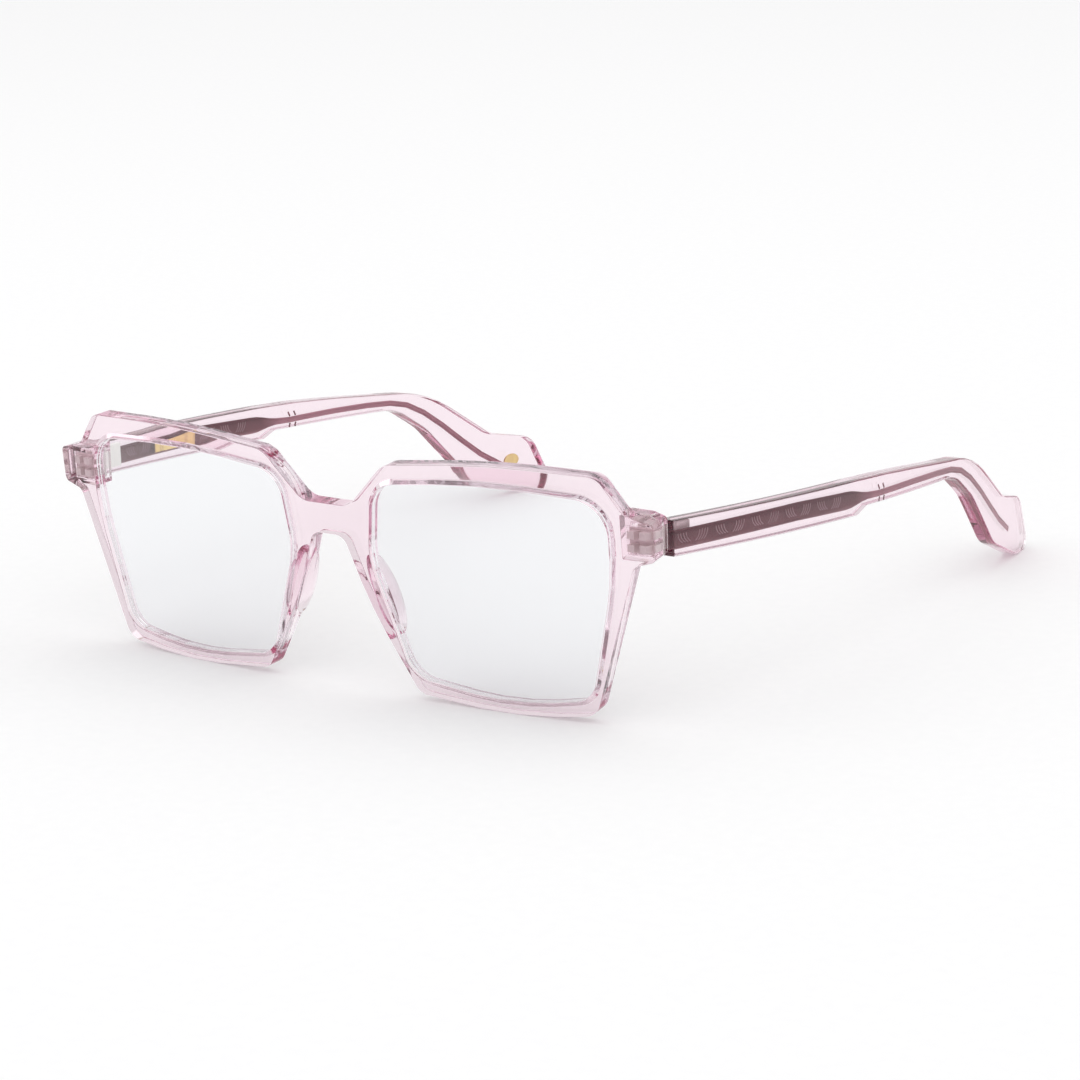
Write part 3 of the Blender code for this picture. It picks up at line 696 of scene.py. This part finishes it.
extrude(front, list(front.faces), (0, FRONT_THICKNESS, 0))
rear = [face for face in front.faces if face.normal.y > LOOKS_BACK]
rear = slice_across(front, 0, (-END_PIECE_INNER, END_PIECE_INNER), rear)
outer = [face for face in rear if abs(face.calc_center_median().x) > END_PIECE_INNER]
outer = slice_across(front, 2, (END_PIECE_BOTTOM, END_PIECE_TOP), outer)
blocks = [
    face for face in outer
    if face.normal.y > LOOKS_BACK
    and abs(face.calc_center_median().x) > END_PIECE_INNER
    and END_PIECE_BOTTOM < face.calc_center_median().z < END_PIECE_TOP
]
extrude(front, blocks, (0, FRONT_DEPTH - FRONT_THICKNESS, 0), keep=False)
bmesh.ops.dissolve_limit(front, angle_limit=FLAT, verts=front.verts, edges=front.edges)
polish(front, EDGE_ROUNDING)


def open_edges(shape):
    """How many edges don't join exactly two faces; a closed piece has none."""
    return sum(not edge.is_manifold for edge in shape.edges)


print("slab with end pieces:", len(front.faces), "faces, open edges:", open_edges(front))

# %% [markdown]
# A V groove runs round each opening and holds the lens. A cutter swept along the opening could carve it.
# It is simpler to slice the opening's wall at three levels and to push the middle ring into the
# plastic along its own normals, and the groove then follows every corner.

# %% Front: lens grooves
GROOVE_MIDDLE = FRONT_THICKNESS / 2
GROOVE_HALF = 0.8 * MM  # half of the groove's width
GROOVE_DEPTH = 0.9 * MM
OPENING_MIDDLE = Vector((34 * MM, 0, 22 * MM))
OPENING_INNER, OPENING_OUTER = 8.6 * MM, 61.2 * MM  # just past the opening's two sides
LOOKS_SIDEWAYS = 0.1  # a face is part of a wall when its normal's Y is smaller than this


def groove_wall(shape, side):
    """The faces of one opening's wall, which look towards the opening's middle."""
    middle = Vector((OPENING_MIDDLE.x * side, 0, OPENING_MIDDLE.z))
    found = []
    for face in shape.faces:
        centre = face.calc_center_median()
        inside = OPENING_INNER < centre.x * side < OPENING_OUTER
        if inside and abs(face.normal.y) < LOOKS_SIDEWAYS and face.normal.dot(middle - centre) > 0:
            found.append(face)
    return found


for _, side in SIDES:
    levels = (GROOVE_MIDDLE - GROOVE_HALF, GROOVE_MIDDLE, GROOVE_MIDDLE + GROOVE_HALF)
    wall = slice_across(front, 1, levels, groove_wall(front, side))
    front.normal_update()
    bottom = {vert for face in wall for vert in face.verts if abs(vert.co.y - GROOVE_MIDDLE) < 10 * EXACT}
    for vert in bottom:
        vert.co -= Vector((vert.normal.x, 0, vert.normal.z)).normalized() * GROOVE_DEPTH
    print("groove points:", len(bottom))

# %% [markdown]
# The nose pads are lumps of acetate bonded to the rims' backs, and polishing hides the seam. A union
# with a stretched and leaning sphere does this, with its front half sunk in the rim. Then the whole
# front is wrapped, and its rear is cut straight where the temples will lie against it.

# %% Front: nose pads, bend and joint faces
PAD_PLACE = (10.2 * MM, 19.0 * MM)
PAD_STAND_OFF = 0.3 * MM  # how far behind the rim's rear face the pad's middle is
PAD_SIZE = (4.0 * MM, 6.0 * MM, 16.0 * MM)
PAD_LEAN = math.radians(-20)
JOINT_Y = FRONT_Y + 7.9 * MM
BLANK_HALF_WIDTH = 70 * MM
FRONT_STRIP = 2.1 * MM  # the width of the strips into which the front is sliced for bending


def nose_pad(side):
    """A long, rounded lump whose front half is sunk into the rim."""
    pad = bmesh.new()
    bmesh.ops.create_uvsphere(pad, u_segments=40, v_segments=24, radius=0.5)  # 1 across, so scale is size
    bmesh.ops.scale(pad, vec=PAD_SIZE, verts=pad.verts)
    bmesh.ops.rotate(pad, verts=pad.verts, cent=(0, 0, 0), matrix=Matrix.Rotation(PAD_LEAN * side, 3, "Y"))
    place = (PAD_PLACE[0] * side, FRONT_THICKNESS + PAD_STAND_OFF, PAD_PLACE[1])
    bmesh.ops.translate(pad, verts=pad.verts, vec=place)
    return pad


for _, side in SIDES:
    front = combined(front, nose_pad(side), "UNION")
bend(front, wrap_front, 0, -BLANK_HALF_WIDTH, BLANK_HALF_WIDTH, FRONT_STRIP)
parts = front.verts[:] + front.edges[:] + front.faces[:]
cut = bmesh.ops.bisect_plane(
    front, geom=parts, dist=EXACT, plane_co=(0, JOINT_Y, 0), plane_no=(0, 1, 0), clear_outer=True
)
joint_edges = [item for item in cut["geom_cut"] if isinstance(item, bmesh.types.BMEdge)]
bmesh.ops.holes_fill(front, edges=joint_edges, sides=0)
bmesh.ops.recalc_face_normals(front, faces=front.faces)
print("bent front: open edges", open_edges(front))

# %% [markdown]
# The hinge leaf's plate lies in a shallow recess in the end piece's rear face, and its knuckles and
# screw sit in a deeper notch. Both are square to the temples and not to the leaning front, so two
# rounded blocks are subtracted after bending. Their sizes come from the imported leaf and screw, with a
# little room.

# %% Front: hinge recesses
RECESS_ROOM = 0.3 * MM
RECESS_ROUNDING = 0.15 * MM
NOTCH_ROUNDING = 0.3 * MM
CUTTER_REACH = 1 * MM  # how far a cutter sticks out behind the end piece
LEAF_LOW, LEAF_HIGH = (Vector(corner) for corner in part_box("front_hinge_leaf_left"))
SCREW_LOW, SCREW_HIGH = (Vector(corner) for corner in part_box("hinge_screw_left"))
LEAF_THICKNESS = 0.9 * MM


def block(low, high, side, rounding):
    """A box between two corners, with rounded edges."""
    shape = bmesh.new()
    bmesh.ops.create_cube(shape, size=1)
    bmesh.ops.scale(shape, vec=high - low, verts=shape.verts)
    bmesh.ops.translate(shape, verts=shape.verts, vec=(low + high) / 2)
    bmesh.ops.bevel(
        shape, geom=shape.edges[:], offset=rounding, offset_type="OFFSET", affect="EDGES",
        segments=3, profile=0.5, material=-1,
    )
    to_side(shape, side)
    return shape


def leaf_recess(side):
    """Where the hinge leaf's plate lies in the end piece's rear face."""
    room = Vector((1, 1, 0.5)) * RECESS_ROOM
    low = Vector((LEAF_LOW.x, JOINT_Y - LEAF_THICKNESS - RECESS_ROOM, LEAF_LOW.z))
    high = Vector((LEAF_HIGH.x, JOINT_Y + CUTTER_REACH, LEAF_HIGH.z))
    return block(low - room, high + room, side, RECESS_ROUNDING)


def knuckle_notch(side):
    """The notch in which the knuckles and the screw's head turn."""
    room = Vector((2, 2, 1)) * RECESS_ROOM
    low = Vector((SCREW_LOW.x, SCREW_LOW.y, LEAF_LOW.z))
    high = Vector((SCREW_HIGH.x, JOINT_Y + 2 * CUTTER_REACH, SCREW_HIGH.z))
    return block(low - room, high + room, side, NOTCH_ROUNDING)


for _, side in SIDES:
    front = combined(front, leaf_recess(side), "DIFFERENCE")
    front = combined(front, knuckle_notch(side), "DIFFERENCE")
print("front: open edges", open_edges(front))
replaced = ("front_frame", "nose_pad_left", "nose_pad_right")
finished(front, "acetate_front", ACETATE, "front", replaced)

# %% [markdown]
# ## Lenses
# Each lens is a 2 mm sheet, ground a little smaller than the opening, with a ridge round its edge that
# snaps into the groove. It could be ground to shape with a cutter. Here it is drawn from the same
# outline as the opening, so that it always fits, inset by the clearance, and the ridge is the middle
# ring of its edge, pushed outwards along its normals.

# %% Lenses
LENS_THICKNESS = 2.0 * MM
LENS_CLEARANCE = 0.12 * MM
RIDGE_HEIGHT = 0.75 * MM
RIDGE_HALF = 0.45 * MM


def make_lens(name, side):
    shape = bmesh.new()
    sheet = rounded_face(shape, OPENING, on_front)
    ring = bmesh.ops.inset_region(shape, faces=[sheet], thickness=LENS_CLEARANCE, use_even_offset=True)
    bmesh.ops.delete(shape, geom=ring["faces"], context="FACES")
    extrude(shape, list(shape.faces), (0, LENS_THICKNESS, 0))
    bmesh.ops.translate(shape, verts=shape.verts, vec=(0, GROOVE_MIDDLE - LENS_THICKNESS / 2, 0))
    wall = [face for face in shape.faces if abs(face.normal.y) < LOOKS_SIDEWAYS]
    slice_across(shape, 1, (GROOVE_MIDDLE - RIDGE_HALF, GROOVE_MIDDLE, GROOVE_MIDDLE + RIDGE_HALF), wall)
    shape.normal_update()
    for vert in shape.verts:
        if abs(vert.co.y - GROOVE_MIDDLE) < 10 * EXACT:
            vert.co += Vector((vert.normal.x, 0, vert.normal.z)).normalized() * RIDGE_HEIGHT
    bend(shape, wrap_front, 0, -BLANK_HALF_WIDTH, BLANK_HALF_WIDTH, FRONT_STRIP)
    to_side(shape, side)
    return finished(shape, "clear_lens_" + name, LENS, "front", ("lens_" + name,))


for name, side in SIDES:
    make_lens(name, side)

# %% [markdown]
# ## Temples
# A temple is cut from 3.6 mm sheet. It runs back almost straight, bends down behind the ear, and ends in
# a broad tip. A sweep along a curve could make it too, but its height changes all the way, and one
# outline drawn from the side says that best. It is extruded to its thickness, polished and bowed.

# %% Temples
TEMPLE_THICKNESS = 3.6 * MM
# (back, up, corner radius) in mm
TEMPLE_OUTLINE = (
    (8.2, 38.3, 0.4), (75.0, 33.2, 400.0), (115.5, 27.6, 30.0), (133.9, 14.9, 7.0), (145.6, 12.1, 5.0),
    (151.4, -0.05, 3.5), (143.0, 0.05, 14.0), (126.8, 6.7, 9.0), (114.4, 19.6, 14.0), (105.4, 25.6, 12.0),
    (85.0, 27.1, 150.0), (67.8, 28.35, 2.5), (64.3, 27.2, 1.6), (8.2, 31.7, 0.4),
)
TEMPLE_LENGTH = 152 * MM
TEMPLE_STRIP = 3 * MM  # the width of the strips into which a temple is sliced for bending


def on_side(point):
    """A drawn point (back, up) on the temple's inner face."""
    return (-TEMPLE_THICKNESS / 2, point.x, point.y)


def make_temple(name, side):
    shape = bmesh.new()
    rounded_face(shape, TEMPLE_OUTLINE, on_side)
    extrude(shape, list(shape.faces), (TEMPLE_THICKNESS, 0, 0))
    polish(shape, EDGE_ROUNDING)
    bend(shape, bow_temple, 1, 0, TEMPLE_LENGTH, TEMPLE_STRIP)
    to_side(shape, side)
    replaced = ("temple_" + name,)
    return finished(shape, "acetate_temple_" + name, ACETATE, name + "_temple", replaced)


for name, side in SIDES:
    make_temple(name, side)

# %% [markdown]
# ## Temple cores
# A core is a round wire, pressed flat and wide for its front part so that it can't turn in the
# plastic. A curve with a round bevel could only make the wire. So the core is a sweep of its own: it
# starts from a circle, is extruded from station to station, and its upper and lower halves are pulled
# apart by the core's height there, which is what the press does.

# %% Cores
CORE_RADIUS = 0.6 * MM
CORE_SIDES = 24
# (back, up, half the height) in mm
CORE_STATIONS = (
    (8.6, 34.5, 1.75), (30.0, 33.2, 1.75), (45.0, 32.2, 1.75), (61.0, 30.62, 1.72), (63.0, 30.45, 1.62),
    (65.0, 30.3, 1.3), (67.0, 30.13, 0.92), (69.0, 29.95, 0.7), (73.0, 29.5, 0.6), (88.0, 28.6, 0.6),
    (98.0, 27.8, 0.6), (105.0, 27.0, 0.6), (110.0, 25.7, 0.6), (115.0, 23.1, 0.6), (120.5, 19.2, 0.6),
    (126.0, 14.8, 0.6), (131.5, 10.6, 0.6), (137.5, 7.0, 0.6),
)


def core_slope(i):
    """The core's direction at a station, as (back, up)."""
    first = Vector(CORE_STATIONS[max(i - 1, 0)][:2])
    last = Vector(CORE_STATIONS[min(i + 1, len(CORE_STATIONS) - 1)][:2])
    return (last - first).normalized()


def core_ring(verts, signs, i):
    """Puts a ring of the sweep at a station: round, or pulled tall."""
    back_mm, up_mm, half_mm = CORE_STATIONS[i]
    slope = core_slope(i)
    tall = half_mm * MM - CORE_RADIUS
    middle = Vector((0, back_mm * MM, up_mm * MM))
    for vert, (across, height) in zip(verts, signs):
        upward = height + math.copysign(tall, height) if abs(height) > EXACT else 0
        vert.co = middle + Vector((across, -slope.y * upward, slope.x * upward))


def make_core(name, side):
    shape = bmesh.new()
    bmesh.ops.create_circle(shape, cap_ends=True, segments=CORE_SIDES, radius=CORE_RADIUS)
    half_step = Matrix.Rotation(math.pi / CORE_SIDES, 3, "Z")  # so that no point is exactly at mid height
    bmesh.ops.rotate(shape, verts=shape.verts, cent=(0, 0, 0), matrix=half_step)
    face = shape.faces[:][0]
    signs = [(vert.co.x, vert.co.y) for vert in face.verts]
    core_ring(list(face.verts), signs, 0)
    for i in range(1, len(CORE_STATIONS)):
        step = bmesh.ops.extrude_face_region(shape, geom=[face])
        if i > 1:
            bmesh.ops.delete(shape, geom=[face], context="FACES_ONLY")
        face = [item for item in step["geom"] if isinstance(item, bmesh.types.BMFace)][0]
        core_ring(list(face.verts), signs, i)
    bmesh.ops.recalc_face_normals(shape, faces=shape.faces)
    bend(shape, bow_temple, 1, 0, TEMPLE_LENGTH, TEMPLE_STRIP)
    to_side(shape, side)
    replaced = ("temple_core_" + name,)
    return finished(shape, "wire_core_" + name, CORE, name + "_temple", replaced)


for name, side in SIDES:
    make_core(name, side)

# %% [markdown]
# ## Engraving
# Before a core goes into its temple, groups of short curved strokes are engraved in its wide part, and
# the cut metal shines paler than the skin round it. A bump could draw them, but it would be blurred at
# this size, so each stroke is a real sliver: a tiny rectangle spun through an arc. Groups lean forwards
# and backwards in turn.

# %% Engraving
GROUPS = 10
GROUP_START = 11.6  # back from the front's face, in mm
GROUP_PITCH = 5.1
STROKES = 4
STROKE_PITCH = 0.72
STROKE_RADIUS = 2.2 * MM
STROKE_TURN = math.radians(58)
STROKE_STEPS = 6
STROKE_LEAN = math.radians(33)
STROKE_WIDTH = 0.17 * MM
STROKE_PROUD = 0.03 * MM


def core_height(back_mm):
    """The height of the core's middle, in mm, at a distance back in mm."""
    for (b0, u0, _), (b1, u1, _) in zip(CORE_STATIONS, CORE_STATIONS[1:]):
        if b0 <= back_mm <= b1:
            return u0 + (u1 - u0) * (back_mm - b0) / (b1 - b0)
    return CORE_STATIONS[0][1]


def linked_verts(verts):
    """These vertices and all that are joined to them by edges."""
    found = set(verts)
    waiting = list(verts)
    while waiting:
        for edge in waiting.pop().link_edges:
            for vert in edge.verts:
                if vert not in found:
                    found.add(vert)
                    waiting.append(vert)
    return found


def add_stroke(shape, back_mm, lean, face):
    """One curved stroke on the core's outer (face = 1) or inner (face = -1) side."""
    square = bmesh.ops.create_grid(shape, x_segments=1, y_segments=1, size=0.5)["verts"]
    bmesh.ops.scale(shape, vec=(2 * STROKE_PROUD, STROKE_WIDTH, 1), verts=square)
    bmesh.ops.translate(shape, verts=square, vec=(face * CORE_RADIUS, STROKE_RADIUS, 0))
    start = Matrix.Rotation(-STROKE_TURN / 2, 3, "X")
    bmesh.ops.rotate(shape, verts=square, cent=(0, 0, 0), matrix=start)
    patch = square[0].link_faces[0]
    swept = bmesh.ops.spin(
        shape, geom=[patch], cent=(0, 0, 0), axis=(1, 0, 0), angle=STROKE_TURN,
        steps=STROKE_STEPS, use_merge=False,
    )
    ends = set(square) | {vert for item in swept["geom_last"] for vert in getattr(item, "verts", [])}
    made = list(linked_verts(ends))
    bmesh.ops.translate(shape, verts=made, vec=(0, -STROKE_RADIUS, 0))
    bmesh.ops.scale(shape, vec=(1, lean, 1), verts=made)
    slant = Matrix.Rotation(-lean * STROKE_LEAN, 3, "X")
    bmesh.ops.rotate(shape, verts=made, cent=(face * CORE_RADIUS, 0, 0), matrix=slant)
    bmesh.ops.translate(shape, verts=made, vec=(0, back_mm * MM, core_height(back_mm) * MM))


def make_engraving(name, side):
    shape = bmesh.new()
    for face in (1, -1):
        for group in range(GROUPS):
            lean = 1 if group % 2 else -1
            for i in range(STROKES):
                from_middle = STROKE_PITCH * (i - (STROKES - 1) / 2)
                add_stroke(shape, GROUP_START + GROUP_PITCH * group + from_middle, lean, face)
    bmesh.ops.recalc_face_normals(shape, faces=shape.faces)
    for vert in shape.verts:
        vert.co = bow_temple(vert.co)
    to_side(shape, side)
    return finished(shape, "core_engraving_" + name, STROKE, name + "_temple")


for name, side in SIDES:
    make_engraving(name, side)

# %% [markdown]
# Behind the core's neck, two small chevrons lie over the wire: dark pins pressed into the plastic above
# and below it. Each chevron is two short rods that lean against each other, and a thin cylinder is
# enough for a rod of this size.

# %% Chevron marks
CHEVRONS_BACK = (73.4, 75.2)  # back from the front's face, in mm
ROD_SIDES = 12
ROD_RADIUS = 0.2 * MM
ROD_LENGTH = 1.05 * MM
ROD_LEAN = math.radians(28)
ROD_OFF_WIRE = 1.2 * MM


def make_chevrons(name, side):
    shape = bmesh.new()
    for back_mm in CHEVRONS_BACK:
        for above in (1, -1):
            rod = bmesh.ops.create_cone(
                shape, cap_ends=True, segments=ROD_SIDES,
                radius1=ROD_RADIUS, radius2=ROD_RADIUS, depth=ROD_LENGTH,
            )["verts"]
            lean = Matrix.Rotation(above * ROD_LEAN, 3, "X")
            bmesh.ops.rotate(shape, verts=rod, cent=(0, 0, 0), matrix=lean)
            place = Vector((0, back_mm * MM, core_height(back_mm) * MM + above * ROD_OFF_WIRE))
            bmesh.ops.translate(shape, verts=rod, vec=place)
    for vert in shape.verts:
        vert.co = bow_temple(vert.co)
    to_side(shape, side)
    return finished(shape, "chevron_marks_" + name, PIN, name + "_temple")


for name, side in SIDES:
    make_chevrons(name, side)

# %% [markdown]
# ## Carried-over pieces
# The hinge leaves, the screws and the two gilt inlays already have their real shape in the packed
# model, so making them again would add nothing. They keep their meshes. A modifier adds a fine bevel
# that catches the light, and they get their metals.

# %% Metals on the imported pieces
METAL_BEVEL = 0.06 * MM
METAL_SHARP = math.radians(50)  # an edge that turns more than this gets the bevel


def dress(node, finish):
    """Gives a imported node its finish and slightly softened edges."""
    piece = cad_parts[node]
    piece.data.materials.clear()
    piece.data.materials.append(finish)
    weld = piece.modifiers.new("weld", "WELD")
    weld.merge_threshold = JOIN
    soft = piece.modifiers.new("soft edges", "BEVEL")
    soft.width = METAL_BEVEL
    soft.segments = 2
    soft.limit_method = "ANGLE"
    soft.angle_limit = METAL_SHARP
    soft.harden_normals = True


for name, _ in SIDES:
    for node in ("front_hinge_leaf_", "temple_hinge_leaf_", "hinge_screw_"):
        dress(node + name, STEEL)
for node in ("inlay_plate_right", "tip_inlay_right"):
    dress(node, GOLD)
print("dressed:", [node for node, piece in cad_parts.items() if piece.visible_get()])
